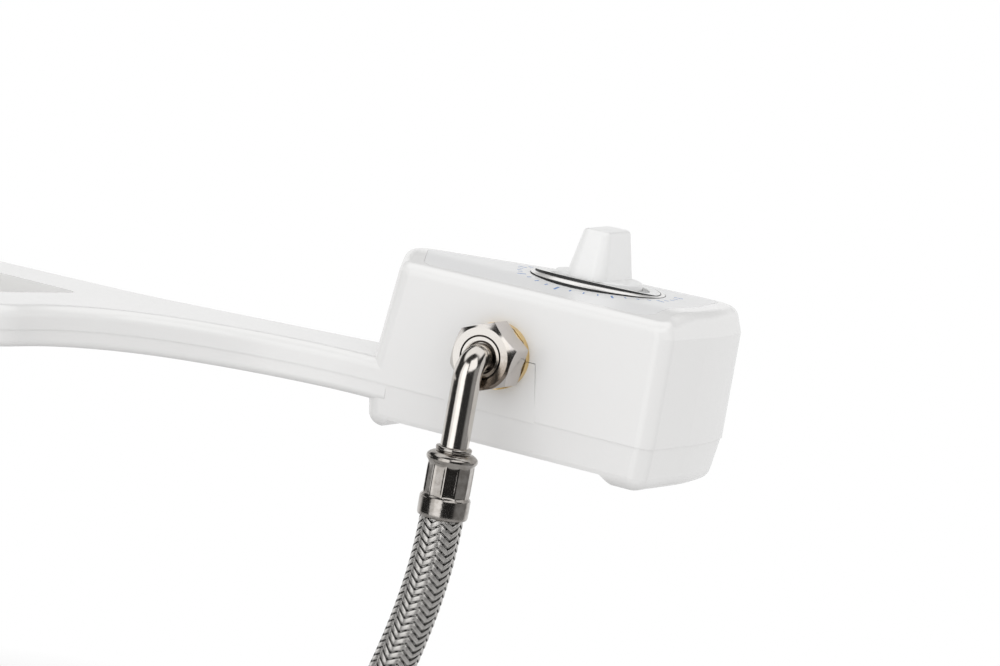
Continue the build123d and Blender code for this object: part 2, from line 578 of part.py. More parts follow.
fnut -= fcyl(4.56, 20, 50)
fnut -= fcyl(10.2, 35.2, 50)
fnut -= fcyl(10.7, 30.7, 35.2)
fnut = one(fnut, "far_nut")
put("far_nut", fnut)
put("far_washer", one(fcyl(9.2, 33.0, 35.0) - fcyl(5.5, 30, 40), "far_washer"))
print("far end", [round(v, 5) for v in fo], [round(v, 6) for v in fd])

# ---------- spray nozzle -------------------------------------------
ca, sa = math.cos(math.radians(NOZ_TILT)), math.sin(math.radians(NOZ_TILT))
ND = (0.0, ca, -sa)
NN = (0.0, sa, ca)


def npt(s, n=0.0, x=0.0):
    return (x, NOZ_P[1] + ca * s + sa * n, NOZ_P[2] - sa * s + ca * n)


def ncyl(r, s0, s1, n=0.0, x=0.0):
    return cyl(r, npt(s0, n, x), ND, s1 - s0)


def nblock(x0, x1, s0, s1, n0, n1):
    w = Wire.make_polygon([Vector(*npt(s0, n0, x0)), Vector(*npt(s1, n0, x0)), Vector(*npt(s1, n1, x0)), Vector(*npt(s0, n1, x0))], close=True)
    return extrude(Face(w), x1 - x0, dir=(1, 0, 0))


house = box(-17.5, 17.5, 47.5, 71.5, WALL + 0.05, 5.4) + box(-11.5, 11.5, 29.5, 49.0, WALL + 0.05, 11.2)
house += box(NECK[0], NECK[1], NECK[2], NECK[3], -16.0, 5.0)
house += ncyl(10.0, -3.0, 44.0)
house += nblock(-12.0, -9.2, 22.0, 30.0, 0.0, 17.0) + nblock(9.2, 12.0, 22.0, 30.0, 0.0, 17.0)
for y in (34.0, 42.0):
    house += cyl(2.2, (11, y, 7.0), (1, 0, 0), 12.5)
    house -= cyl(1.4, (-8, y, 7.0), (1, 0, 0), 34)
house -= ncyl(7.0, 3.0, 60.0)
house -= ncyl(2.0, -12.0, 6.0)
house -= cyl(2.0, npt(-9.0), (0, 0, 1), 10)
house -= cyl(1.5, (-20, npt(26, 13.6)[1], npt(26, 13.6)[2]), (1, 0, 0), 40)
for x, y in HOUSE_SCREWS:
    house -= cyl(1.6, (x, y, 1), (0, 0, 1), 8)
put("nozzle_housing", one(house, "nozzle_housing"))
put("housing_screws", Compound([one(cyl(1.25, (x, y, 0.6), (0, 0, 1), 5.0) + cyl(2.6, (x, y, 5.45), (0, 0, 1), 1.8), "hs") for x, y in HOUSE_SCREWS]))

hcap = ncyl(10.0, 44.05, 47.0) + ncyl(6.95, 40.0, 45.0)
hcap -= ncyl(4.88, 30, 60)
put("housing_cap", one(hcap, "housing_cap"))
noz = ncyl(4.8, 6.0, 48.0) + ncyl(6.6, 6.0, 7.0) + ncyl(6.6, 8.7, 9.7) + ncyl(5.4, 6.5, 9.0)
noz -= ncyl(2.8, 5, 50)
put("nozzle_tube", one(noz, "nozzle_tube"))
put("piston_seal", one(ncyl(6.94, 7.05, 8.65) - ncyl(5.4, 5, 12), "piston_seal"))
tip = ncyl(4.8, 48.0, 56.0)
tip_end = [e for e in tip.edges() if e.geom_type == GeomType.CIRCLE and (Vector(*npt(56.0)) - e.arc_center).length < 0.01]
tip = try_fillet(tip, tip_end, 3.0, "tip")
tip = tip + ncyl(2.8, 42.0, 49.0)
tip -= ncyl(1.6, 30, 53.0)
for s in (50.6, 52.2):
    for x in (-1.1, 1.1):
        tip -= cyl(0.45, npt(s, 1.0, x), NN, 6)
put("spray_tip", one(tip, "spray_tip"))
SP0, SP1 = 9.75, 39.95
wire_r = 0.35
sh = Edge.make_helix((SP1 - SP0 - 2 * wire_r) / 8.0, SP1 - SP0 - 2 * wire_r, 5.85, (0, 0, 0), (0, 0, 1))
sh = sh.moved(Plane(origin=npt(SP0 + wire_r), x_dir=(1, 0, 0), z_dir=ND).location)
spr = Solid.sweep(Plane(origin=sh.position_at(0), z_dir=sh.tangent_at(0)) * Face(Wire.make_circle(wire_r)), sh, is_frenet=True)
put("return_spring", one(spr, "return_spring"))
jet = cyl(2.2, npt(38.0, 0.0, 9.4), (1, 0, 0), 3.4) + ncyl(2.2, 38.0, 48.5, 0.0, 12.4)
put("clean_jet", one(jet, "clean_jet"))

gate = nblock(-14.0, 14.0, 27.0, 66.0, 12.4, 14.4)
gate = gate - nblock(-20, -8.9, 20, 32.5, 5, 20) - nblock(8.9, 20, 20, 32.5, 5, 20)
hub_p = npt(26, 13.6)
gate += cyl(3.0, (-8.9, hub_p[1], hub_p[2]), (1, 0, 0), 17.8)
gate -= cyl(1.55, (-20, hub_p[1], hub_p[2]), (1, 0, 0), 40)
put("guard_gate", one(gate, "guard_gate"))
put("gate_pin", cyl(1.5, (-13.0, hub_p[1], hub_p[2]), (1, 0, 0), 26.0))
print("gate hinge", [round(v, 5) for v in hub_p])

# ---------- inner tubes --------------------------------------------
TUBE_R, TUBE_B = 3.2, 2.2
ROUTES = {
    "wash_tube": [(261.4, 84, 13.5), (240, 81.5, 11.0), (210, 68.5, 7.0), (152, 55.0, 7.3), (104, 46.1, 7.0), (60, 41.8, 7.0), (13.0, 42, 7.0)],
    "clean_tube": [(261.4, 72, 13.5), (240, 70.0, 11.0), (210, 58.8, 7.0), (152, 46.0, 7.3), (104, 38.1, 7.0), (60, 33.9, 7.0), (13.0, 34, 7.0)],
}
for name, pts in ROUTES.items():
    w = tube_wire(pts, name)
    d = tuple(Vector(*pts[1]) - Vector(*pts[0]))
    t = pipe(w, TUBE_R, pts[0], d) - pipe(w, TUBE_B, pts[0], d)
    t = one(t, name)
    print(name, "volume / section*length", round(t.volume / (math.pi * (TUBE_R ** 2 - TUBE_B ** 2) * w.length), 4), "length", round(w.length, 1))
    put(name, t)
clips = []
for i, x in enumerate((176.0, 128.0, 80.0)):
    ys = []
    for name in ("clean_tube", "wash_tube"):
        r = ROUTES[name]
        for p, q in zip(r, r[1:]):
            if q[0] <= x <= p[0]:
                k = (p[0] - x) / (p[0] - q[0])
                ys.append(p[1] + (q[1] - p[1]) * k)
    y0, y1 = ys
    c = box(x - 3, x + 3, y0 - 5.0, y1 + 5.0, WALL + 0.02, 6.0)
    c -= box(x - 5, x + 5, y0 - 3.9, y0 + 3.9, 3.5, 8)
    c -= box(x - 5, x + 5, y1 - 3.9, y1 + 3.9, 3.5, 8)
    clips.append(one(c, "clip"))
put("tube_clips", Compound(clips))

# ---------- write --------------------------------------------------
for name, shape in OUT.items():
    shape.label = name
    export_step(shape, "parts/" + name + ".step")
    bb = shape.bounding_box()
    print(f"{name:24s} solids {len(shape.solids())} vol {shape.volume:10.1f}  x {bb.min.X:8.2f} {bb.max.X:8.2f}  y {bb.min.Y:8.2f} {bb.max.Y:8.2f}  z {bb.min.Z:8.2f} {bb.max.Z:8.2f} valid {shape.is_valid}")
print(len(OUT), "nodes")
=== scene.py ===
import json
import math
import bpy
import bmesh
from mathutils import Vector, Matrix
from mathutils.bvhtree import BVHTree


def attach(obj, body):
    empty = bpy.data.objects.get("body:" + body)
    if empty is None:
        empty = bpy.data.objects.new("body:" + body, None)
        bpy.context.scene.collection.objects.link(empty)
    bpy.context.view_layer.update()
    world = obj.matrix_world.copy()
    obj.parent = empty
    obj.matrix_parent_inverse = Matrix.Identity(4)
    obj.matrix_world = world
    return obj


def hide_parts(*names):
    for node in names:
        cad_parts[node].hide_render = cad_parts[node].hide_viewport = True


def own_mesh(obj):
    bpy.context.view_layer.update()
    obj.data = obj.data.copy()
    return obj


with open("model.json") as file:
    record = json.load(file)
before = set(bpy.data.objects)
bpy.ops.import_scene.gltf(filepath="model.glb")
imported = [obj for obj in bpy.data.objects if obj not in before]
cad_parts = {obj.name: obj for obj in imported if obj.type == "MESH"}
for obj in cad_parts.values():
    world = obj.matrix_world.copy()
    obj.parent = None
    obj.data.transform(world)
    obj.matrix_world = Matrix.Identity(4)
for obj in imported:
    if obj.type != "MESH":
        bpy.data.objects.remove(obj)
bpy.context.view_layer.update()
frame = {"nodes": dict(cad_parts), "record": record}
NODES = frame["nodes"]
MM = 0.001
scene = bpy.context.scene
scene.view_settings.view_transform = "Standard"

# ---------------------------------------------------------------- camera
IMG_W, IMG_H = 1000, 666
AZ, EL, ROLL = math.radians(25.0), math.radians(7.6), math.radians(10.2)
DIST, F_PX = 1.5, 4050.0
AIM = Vector((0.270, 0.0385, 0.028))     # inlet axis on the rear face
AIM_PX = (499.0, 355.5)                  # where it is in the picture
back = Vector((math.sin(AZ) * math.cos(EL), -math.cos(AZ) * math.cos(EL), math.sin(EL)))
right0 = Vector((math.cos(AZ), math.sin(AZ), 0.0))
up0 = back.cross(right0)
right = right0 * math.cos(ROLL) + up0 * math.sin(ROLL)
up = -right0 * math.sin(ROLL) + up0 * math.cos(ROLL)
cx = (AIM_PX[0] - IMG_W / 2) / F_PX
cy = -(AIM_PX[1] - IMG_H / 2) / F_PX
eye = AIM - DIST * (-back + cx * right + cy * up)
cam_data = bpy.data.cameras.new("camera")
cam_data.sensor_fit = "HORIZONTAL"
cam_data.sensor_width = 36.0
cam_data.lens = F_PX * 36.0 / IMG_W
cam_data.clip_start = 0.05
cam_data.clip_end = 60.0
cam = bpy.data.objects.new("camera", cam_data)
scene.collection.objects.link(cam)
m = Matrix((right, up, back)).transposed().to_4x4()
m.translation = eye
cam.matrix_world = m
scene.camera = cam


# ---------------------------------------------------------------- helpers
def new_mesh(name, verts, faces, uvs=None, smooth=True):
    me = bpy.data.meshes.new(name)
    me.from_pydata([tuple(v) for v in verts], [], faces)
    if uvs is not None:
        layer = me.uv_layers.new(name="UVMap")
        for poly in me.polygons:
            for li in poly.loop_indices:
                layer.data[li].uv = uvs[me.loops[li].vertex_index]
    me.validate()
    me.update()
    for p in me.polygons:
        p.use_smooth = smooth
    ob = bpy.data.objects.new(name, me)
    scene.collection.objects.link(ob)
    return ob


def fix_normals(ob):
    bm = bmesh.new()
    bm.from_mesh(ob.data)
    bmesh.ops.recalc_face_normals(bm, faces=bm.faces)
    bm.to_mesh(ob.data)
    bm.free()


def lathe(profile, seg, place, radius_fn=None):
    """Rings of (radius, height) pairs; place maps (r, angle, h) to a point. Ends on the axis close to a point."""
    verts, faces, rows = [], [], []
    for r, h in profile:
        if r < 1e-9:
            rows.append([len(verts)])
            verts.append(place(0.0, 0.0, h))
            continue
        row = []
        for k in range(seg):
            a = 2 * math.pi * k / seg
            rr = radius_fn(r, a, h) if radius_fn else r
            row.append(len(verts))
            verts.append(place(rr, a, h))
        rows.append(row)
    for p, q in zip(rows, rows[1:]):
        for k in range(seg):
            k2 = (k + 1) % seg
            if len(p) == 1 and len(q) == 1:
                continue
            if len(p) == 1:
                faces.append((p[0], q[k2], q[k]))
            elif len(q) == 1:
                faces.append((p[k], p[k2], q[0]))
            else:
                faces.append((p[k], p[k2], q[k2], q[k]))
    return verts, faces


def frame_at(origin, axis):
    z = Vector(axis).normalized()
    x = z.orthogonal().normalized()
    y = z.cross(x)
    o = Vector(origin)
    return lambda r, a, h: o + x * (r * math.cos(a)) + y * (r * math.sin(a)) + z * h


# ---------------------------------------------------------------- materials
def material(name, color, rough, metallic=0.0, **kw):
    mat = bpy.data.materials.new(name)
    mat.use_nodes = True
    nt = mat.node_tree
    b = nt.nodes["Principled BSDF"]
    b.inputs["Base Color"].default_value = (*color, 1.0)
    b.inputs["Roughness"].default_value = rough
    b.inputs["Metallic"].default_value = metallic
    for k, v in kw.items():
        b.inputs[k].default_value = v
    return mat, nt, b


def node(nt, kind, **props):
    n = nt.nodes.new(kind)
    for k, v in props.items():
        setattr(n, k, v)
    return n


def tex_coord(nt):
    return node(nt, "ShaderNodeTexCoord").outputs["Object"]


def noise(nt, scale, detail=3.0, rough=0.5, vec=None):
    n = node(nt, "ShaderNodeTexNoise")
    n.inputs["Scale"].default_value = scale
    n.inputs["Detail"].default_value = detail
    n.inputs["Roughness"].default_value = rough
    nt.links.new(vec if vec is not None else tex_coord(nt), n.inputs["Vector"])
    return n.outputs["Fac"]


def ramp(nt, fac, stops):
    r = node(nt, "ShaderNodeValToRGB")
    els = r.color_ramp.elements
    while len(els) < len(stops):
        els.new(0.5)
    for e, (pos, col) in zip(els, stops):
        e.position = pos
        e.color = (*col, 1.0) if len(col) == 3 else col
    nt.links.new(fac, r.inputs["Fac"])
    return r.outputs["Color"]


def maprange(nt, fac, lo, hi, a=0.0, b=1.0):
    r = node(nt, "ShaderNodeMapRange")
    r.inputs["From Min"].default_value = a
    r.inputs["From Max"].default_value = b
    r.inputs["To Min"].default_value = lo
    r.inputs["To Max"].default_value = hi
    nt.links.new(fac, r.inputs["Value"])
    return r.outputs["Result"]


def bump(nt, bsdf, height, strength, dist):
    bn = node(nt, "ShaderNodeBump")
    bn.inputs["Strength"].default_value = strength
    bn.inputs["Distance"].default_value = dist
    nt.links.new(height, bn.inputs["Height"])
    nt.links.new(bn.outputs["Normal"], bsdf.inputs["Normal"])
    return bn


def plastic(name, base, var, rough, rvar, peel=0.06):
    """Moulded glossy plastic: slow colour drift, uneven gloss and a fine orange peel."""
    mat, nt, b = material(name, base, rough)
    b.inputs["IOR"].default_value = 1.5
    c0 = tuple(max(0.0, x - var) for x in base)
    nt.links.new(ramp(nt, noise(nt, 14.0, 3.0), [(0.3, c0), (0.7, base)]), b.inputs["Base Color"])
    nt.links.new(maprange(nt, noise(nt, 60.0, 4.0), rough - rvar, rough + rvar), b.inputs["Roughness"])
    bump(nt, b, noise(nt, 900.0, 2.0), peel, 0.00006)
    return mat


def metal(name, base, var, rough, rvar, scale=180.0, peel=0.08):
    """Plated metal with faint clouding and fine wear in the gloss."""
    mat, nt, b = material(name, base, rough, 1.0)
    c0 = tuple(max(0.0, x - var) for x in base)
    nt.links.new(ramp(nt, noise(nt, scale, 4.0), [(0.35, c0), (0.65, base)]), b.inputs["Base Color"])
    nt.links.new(maprange(nt, noise(nt, scale * 3, 5.0, 0.65), rough - rvar, rough + rvar), b.inputs["Roughness"])
    bump(nt, b, noise(nt, 1400.0, 3.0), peel, 0.00004)
    return mat


M_SHELL = plastic("shell_white", (0.895, 0.89, 0.883), 0.012, 0.22, 0.04)
M_KNOB = plastic("knob_white", (0.90, 0.90, 0.895), 0.010, 0.30, 0.02, 0.015)
M_LABEL = plastic("label_grey", (0.875, 0.875, 0.875), 0.015, 0.30, 0.05, 0.03)
M_ACETAL = plastic("acetal_white", (0.80, 0.80, 0.78), 0.02, 0.42, 0.06, 0.1)
M_CERAMIC = plastic("ceramic", (0.86, 0.83, 0.78), 0.02, 0.2, 0.03)
M_TUBE = plastic("tube_clear", (0.72, 0.78, 0.80), 0.03, 0.3, 0.05)
M_TIE = plastic("tie_white", (0.85, 0.85, 0.85), 0.02, 0.45, 0.05, 0.1)
M_CHROME = metal("trim_chrome", (0.80, 0.79, 0.78), 0.03, 0.07, 0.03)
M_BEZEL, _nt, _b = material("trim_satin", (0.90, 0.885, 0.87), 0.2, 0.35)
_nt.links.new(ramp(_nt, noise(_nt, 160.0, 4.0), [(0.35, (0.86, 0.845, 0.83)), (0.65, (0.90, 0.885, 0.87))]), _b.inputs["Base Color"])
_nt.links.new(maprange(_nt, noise(_nt, 480.0, 5.0, 0.65), 0.15, 0.27), _b.inputs["Roughness"])
bump(_nt, _b, noise(_nt, 1400.0, 3.0), 0.08, 0.00004)
M_NICKEL = metal("nickel", (0.70, 0.665, 0.625), 0.06, 0.14, 0.05, 180.0, 0.3)
M_BRASS = metal("brass", (0.83, 0.62, 0.30), 0.06, 0.22, 0.07)
M_STEEL = metal("stainless", (0.62, 0.62, 0.61), 0.05, 0.28, 0.08)
M_BLACK = plastic("rubber_black", (0.03, 0.03, 0.03), 0.01, 0.6, 0.08, 0.2)
M_INK = plastic("ink_blue", (0.16, 0.30, 0.62), 0.03, 0.38, 0.05, 0.03)
M_GREY = plastic("rubber_grey", (0.30, 0.30, 0.31), 0.02, 0.65, 0.08, 0.2)
BY_SLOT = {
    "shell_white": M_SHELL, "label_grey": M_LABEL, "trim_chrome": M_CHROME, "knob_white": M_KNOB, "brass": M_BRASS,
    "nickel": M_NICKEL, "braid_steel": M_STEEL, "stainless": M_STEEL, "rubber_black": M_BLACK, "rubber_grey": M_GREY,
    "acetal_white": M_ACETAL, "ceramic": M_CERAMIC, "tube_clear": M_TUBE, "tie_white": M_TIE,
}
for sp in frame["record"]["subparts"]:
    ob = NODES[sp["node"]]
    ob.data.materials.clear()
    ob.data.materials.append(BY_SLOT[sp["material_slot"]])

# swivel nut: turned nickel with painted shade in the face groove and bore, and a brown tarnish that darkens into a
# painted dark reflection towards the underside
def nut_nickel_painted_shade():
    mat_, nt_, b_ = material("nickel_turned_painted_shade", (0.70, 0.665, 0.625), 0.15, 1.0)
    pos = node(nt_, "ShaderNodeSeparateXYZ")
    nt_.links.new(tex_coord(nt_), pos.inputs[0])

    def mth(op, a_, b2=None):
        n_ = node(nt_, "ShaderNodeMath", operation=op)
        for sock, val in zip(n_.inputs, (a_, b2)):
            if val is None:
                continue
            if isinstance(val, (int, float)):
                sock.default_value = val
            else:
                nt_.links.new(val, sock)
        return n_.outputs[0]
    dx = mth("SUBTRACT", pos.outputs["X"], 0.270)
    dz = mth("SUBTRACT", pos.outputs["Z"], 0.028)
    rad = mth("SQRT", mth("ADD", mth("MULTIPLY", dx, dx), mth("MULTIPLY", dz, dz)))
    low_ = mth("ADD", mth("MULTIPLY", dx, 0.62), mth("MULTIPLY", dz, -0.78))
    low_ = mth("ADD", low_, mth("MULTIPLY", mth("SUBTRACT", noise(nt_, 420.0, 4.0, 0.6), 0.5), 0.006))
    # darker and browner towards the underside of the face: brown tarnish, deepening into a painted dark reflection
    tarnish_and_painted_reflection = ramp(nt_, maprange(nt_, low_, 0.0, 1.0, -0.004, 0.0125),
                [(0.0, (0.72, 0.69, 0.655)), (0.45, (0.66, 0.615, 0.565)), (0.8, (0.34, 0.285, 0.235)), (1.0, (0.20, 0.165, 0.14))])
    # the face groove and the bore are painted near black: painted shade in the recesses
    face = mth("MULTIPLY", mth("LESS_THAN", pos.outputs["Y"], 0.0238), mth("LESS_THAN", rad, 0.0122))
    g1 = mth("MULTIPLY", mth("GREATER_THAN", rad, 0.00768), mth("LESS_THAN", rad, 0.00842))
    g2 = mth("LESS_THAN", rad, 0.0063)
    groove_painted_shade = mth("MULTIPLY", mth("MINIMUM", mth("ADD", g1, g2), 1.0), mth("GREATER_THAN", pos.outputs["Y"], 0.02255))
    groove_painted_shade = mth("MULTIPLY", groove_painted_shade, mth("LESS_THAN", pos.outputs["Y"], 0.0245))
    m1 = node(nt_, "ShaderNodeMix", data_type="RGBA")
    nt_.links.new(face, m1.inputs["Factor"])
    m1.inputs["A"].default_value = (0.66, 0.625, 0.60, 1.0)
    nt_.links.new(tarnish_and_painted_reflection, m1.inputs["B"])
    m2 = node(nt_, "ShaderNodeMix", data_type="RGBA")
    nt_.links.new(groove_painted_shade, m2.inputs["Factor"])
    nt_.links.new(m1.outputs["Result"], m2.inputs["A"])
    m2.inputs["B"].default_value = (0.05, 0.042, 0.036, 1.0)
    nt_.links.new(m2.outputs["Result"], b_.inputs["Base Color"])
    nt_.links.new(maprange(nt_, noise(nt_, 500.0, 5.0, 0.65), 0.10, 0.22), b_.inputs["Roughness"])
    rings = node(nt_, "ShaderNodeMath", operation="SINE")
    nt_.links.new(mth("MULTIPLY", rad, 2 * math.pi / 0.00035), rings.inputs[0])
    bump(nt_, b_, mth("ADD", mth("MULTIPLY", rings.outputs[0], 0.12), noise(nt_, 1400.0, 3.0)), 0.22, 0.00004)
    return mat_


M_SEAL = plastic("rubber_pale", (0.52, 0.52, 0.52), 0.03, 0.55, 0.06, 0.15)
NODES["knob_seal"].data.materials.clear()
NODES["knob_seal"].data.materials.append(M_SEAL)
NODES["swivel_nut"].data.materials.clear()
NODES["swivel_nut"].data.materials.append(nut_nickel_painted_shade())

# ---------------------------------------------------------------- supply hose
PIPE_Y = 14.4
COIL_C, COIL_R, COIL_PITCH, COIL_TURNS = (164.0, -218.0), 88.0, 25.0, 385.0 / 360.0
HOSE_D = 16.0
ROUTE = [(270.0, PIPE_Y, -31.5), (270.0, PIPE_Y, -60.0), (250.0, PIPE_Y, -128.0), (250.4, PIPE_Y, -175.0)]
N_TURN = 16
STEP = 2 * math.pi / N_TURN
R_CTRL = COIL_R / (0.75 + 0.25 * math.cos(STEP))
n_ctrl = int(round(COIL_TURNS * N_TURN))
for k in range(n_ctrl):
    t = (k + 0.0) / N_TURN
    a = -2 * math.pi * t
    ROUTE.append((COIL_C[0] + R_CTRL * math.cos(a), PIPE_Y - COIL_PITCH * t, COIL_C[1] + R_CTRL * math.sin(a)))
a = -2 * math.pi * COIL_TURNS
ROUTE.append((COIL_C[0] + COIL_R * math.cos(a), PIPE_Y - COIL_PITCH * COIL_TURNS, COIL_C[1] + COIL_R * math.sin(a)))

cu = bpy.data.curves.new("hose_line", "CURVE")
cu.dimensions = "3D"
cu.resolution_u = 24
sp = cu.splines.new("NURBS")
sp.points.add(len(ROUTE) - 1)
for p, q in zip(sp.points, ROUTE):
    p.co = (q[0] * MM, q[1] * MM, q[2] * MM, 1.0)
sp.order_u = 3
sp.use_endpoint_u = True
line_ob = bpy.data.objects.new("hose_line", cu)
scene.collection.objects.link(line_ob)
bpy.context.view_layer.update()
line_me = bpy.data.meshes.new_from_object(line_ob)
RAW = [v.co.copy() for v in line_me.vertices]
bpy.data.objects.remove(line_ob)
bpy.data.meshes.remove(line_me)


def resample(pts, step):
    """Points a fixed distance apart along the spline's own points."""
    out, acc = [pts[0].copy()], 0.0
    for p, q in zip(pts, pts[1:]):
        d = (q - p).length
        while acc + d >= step:
            k = (step - acc) / d
            p = p.lerp(q, k)
            out.append(p.copy())
            d = (q - p).length
            acc = 0.0
        acc += d
    if (out[-1] - pts[-1]).length > 0.25 * step:
        out.append(pts[-1].copy())
    return out


def frames(pts):
    """Tangent and a slowly turning normal pair at each point."""
    tans = []
    for i in range(len(pts)):
        tans.append((pts[min(i + 1, len(pts) - 1)] - pts[max(i - 1, 0)]).normalized())
    n = Vector((1, 0, 0))
    n = (n - tans[0] * n.dot(tans[0])).normalized()
    out = []
    for t in tans:
        n = (n - t * n.dot(t)).normalized()
        out.append((t, n, t.cross(n)))
    return out


STEPLEN = 0.0005
PATH = resample(RAW, STEPLEN)
FR = frames(PATH)
S_TOTAL = (len(PATH) - 1) * STEPLEN


def hose_at(s, r, phi):
    """Point at distance s along the hose, radius r and angle phi about its line."""
    f = min(max(s / STEPLEN, 0.0), len(PATH) - 1.001)
    i = int(f)
    k = f - i
    p = PATH[i].lerp(PATH[i + 1], k)
    _, n, b = FR[i]
    return p + n * (r * math.cos(phi)) + b * (r * math.sin(phi))


CARRIERS = 12                # strands each way
LEAD = 0.0345                # advance per turn
BR = 0.0080 - 0.00014        # mean radius of the braid
AMP = 0.00026                # over and under
HALF_W = 0.00106             # half width of a strand


def braid():
    verts, faces, uvs = [], [], []
    across = [(-1.0, -0.00026), (-0.82, -0.00003), (-0.4, 0.00008), (0.0, 0.00011), (0.4, 0.00008), (0.82, -0.00003), (1.0, -0.00026)]
    m_ = len(across)
    d_phi = math.radians(6.0)
    n_steps = int(S_TOTAL / LEAD * 2 * math.pi / d_phi)
    sin_a = 1.0 / math.sqrt(1 + (2 * math.pi * BR / LEAD) ** 2)   # part of the strand's run along the hose
    cos_a = math.sqrt(1 - sin_a ** 2)
    for sign in (1, -1):
        for c in range(CARRIERS):
            phi0 = 2 * math.pi * c / CARRIERS
            prev = None
            for i in range(n_steps + 1):
                dphi = i * d_phi
                s = dphi * LEAD / (2 * math.pi)
                phi = phi0 + sign * dphi
                w = math.sin(6 * phi)
                w = math.copysign(min(1.0, abs(w) * 2.4), w)
                r0 = BR + sign * AMP * w
                row = []
                for u, dr in across:
                    off = u * HALF_W
                    # across the strand: perpendicular to its run on the unrolled surface
                    ss = s + off * cos_a
                    pp = phi - sign * off * sin_a / BR
                    row.append(len(verts))
                    verts.append(hose_at(min(max(ss, 0.0), S_TOTAL), r0 + dr, pp))
                    uvs.append((0.5 + 0.5 * u, s / 0.01))
                if prev is not None:
                    for k in range(m_ - 1):
                        if sign > 0:
                            faces.append((prev[k], row[k], row[k + 1], prev[k + 1]))
                        else:
                            faces.append((prev[k], prev[k + 1], row[k + 1], row[k]))
                prev = row
    # inner tube that closes the braid
    seg, ri = 20, BR - 0.00065
    base = None
    stepn = 6
    idx = list(range(0, len(PATH), stepn))
    if idx[-1] != len(PATH) - 1:
        idx.append(len(PATH) - 1)
    for i in idx:
        _, n, b = FR[i]
        row = []
        for k in range(seg):
            a_ = 2 * math.pi * k / seg
            row.append(len(verts))
            verts.append(PATH[i] + n * (ri * math.cos(a_)) + b * (ri * math.sin(a_)))
            uvs.append((2.0, 0.0))
        if base is not None:
            for k in range(seg):
                faces.append((base[k], base[(k + 1) % seg], row[(k + 1) % seg], row[k]))
        else:
            faces.append(tuple(reversed(row)))
        base = row
    faces.append(tuple(base))
    return verts, faces, uvs


bv, bf, buv = braid()
hose = new_mesh("supply_hose", bv, bf, buv)

mat, nt, b = material("braid_steel", (0.80, 0.78, 0.755), 0.28, 0.80)
uvn = node(nt, "ShaderNodeUVMap")
uvn.uv_map = "UVMap"
sep = node(nt, "ShaderNodeSeparateXYZ")
nt.links.new(uvn.outputs["UV"], sep.inputs[0])
wave = node(nt, "ShaderNodeMath", operation="MULTIPLY")
wave.inputs[1].default_value = 6 * 2 * math.pi
nt.links.new(sep.outputs["X"], wave.inputs[0])
cosn = node(nt, "ShaderNodeMath", operation="COSINE")
nt.links.new(wave.outputs[0], cosn.inputs[0])
wires = maprange(nt, cosn.outputs[0], 1.0, 0.0, -1.0, 1.0)
inner = node(nt, "ShaderNodeMath", operation="GREATER_THAN")
inner.inputs[1].default_value = 1.5
nt.links.new(sep.outputs["X"], inner.inputs[0])
# colour across each strand: darker between the round wires, painted shade
wire_painted_shade = ramp(nt, wires, [(0.0, (0.38, 0.37, 0.355)), (0.4, (0.72, 0.70, 0.675))])
side_u = node(nt, "ShaderNodeMath", operation="MULTIPLY_ADD")
side_u.inputs[1].default_value = 2.0
side_u.inputs[2].default_value = -1.0
nt.links.new(sep.outputs["X"], side_u.inputs[0])
side_a = node(nt, "ShaderNodeMath", operation="ABSOLUTE")
nt.links.new(side_u.outputs[0], side_a.inputs[0])
# strand edges painted near black: painted shade in the gaps between strands
strand_edge_painted_shade = ramp(nt, side_a.outputs[0], [(0.66, (1.0, 1.0, 1.0)), (0.88, (0.03, 0.03, 0.028))])
wmul = node(nt, "ShaderNodeMix", data_type="RGBA", blend_type="MULTIPLY")
wmul.inputs["Factor"].default_value = 1.0
nt.links.new(wire_painted_shade, wmul.inputs["A"])
nt.links.new(strand_edge_painted_shade, wmul.inputs["B"])
mixc = node(nt, "ShaderNodeMix", data_type="RGBA")
nt.links.new(inner.outputs[0], mixc.inputs["Factor"])
nt.links.new(wmul.outputs["Result"], mixc.inputs["A"])
mixc.inputs["B"].default_value = (0.012, 0.012, 0.012, 1.0)
nt.links.new(mixc.outputs["Result"], b.inputs["Base Color"])
nt.links.new(maprange(nt, noise(nt, 700.0, 3.0), 0.16, 0.30), b.inputs["Roughness"])
bump(nt, b, wires, 0.45, 0.00008)
hose.data.materials.append(mat)
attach(hose, "base")
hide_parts("braided_hose", "hose_coil")

# ---------------------------------------------------------------- ferrule with crimp flats
def ferrule(name, place, phase):
    prof = [(4.4, 0.0), (5.9, 0.04), (6.5, 0.2), (6.72, 0.5), (6.74, 1.2), (6.6, 1.55), (6.2, 1.72), (6.1, 1.9),
            (6.6, 2.05), (7.6, 2.35), (8.6, 2.9), (9.35, 3.6), (9.62, 4.4), (9.45, 5.2), (8.9, 5.9), (8.58, 6.5), (8.5, 7.2)]
    n = 10
    for i in range(1, n + 1):
        prof.append((8.5, 7.2 + (17.8 - 7.2) * i / n))
    prof += [(8.75, 18.3), (9.25, 18.75), (9.5, 19.4), (9.52, 21.4), (9.5, 24.6), (9.45, 25.6), (9.2, 26.2), (8.7, 26.5), (7.4, 26.4)]
    flats = 11

    def rf(r, a_, h):
        hh = h / MM
        t = min(1.0, max(0.0, (hh - 5.8) / 1.6)) * min(1.0, max(0.0, (18.7 - hh) / 1.5))
        if t <= 0:
            return r
        step = 2 * math.pi / flats
        d = ((a_ - phase) % step) - step / 2
        flat = 8.32 / math.cos(d)
        ridge = 0.24 * math.exp(-((abs(d) - step / 2) / 0.045) ** 2)
        return (r / MM * (1 - t) + (flat + ridge - 0.05) * t) * MM
    vs, fs = lathe([(r * MM, h * MM) for r, h in prof], 132, place, rf)
    ob = new_mesh(name, vs, fs)
    fix_normals(ob)
    return ob


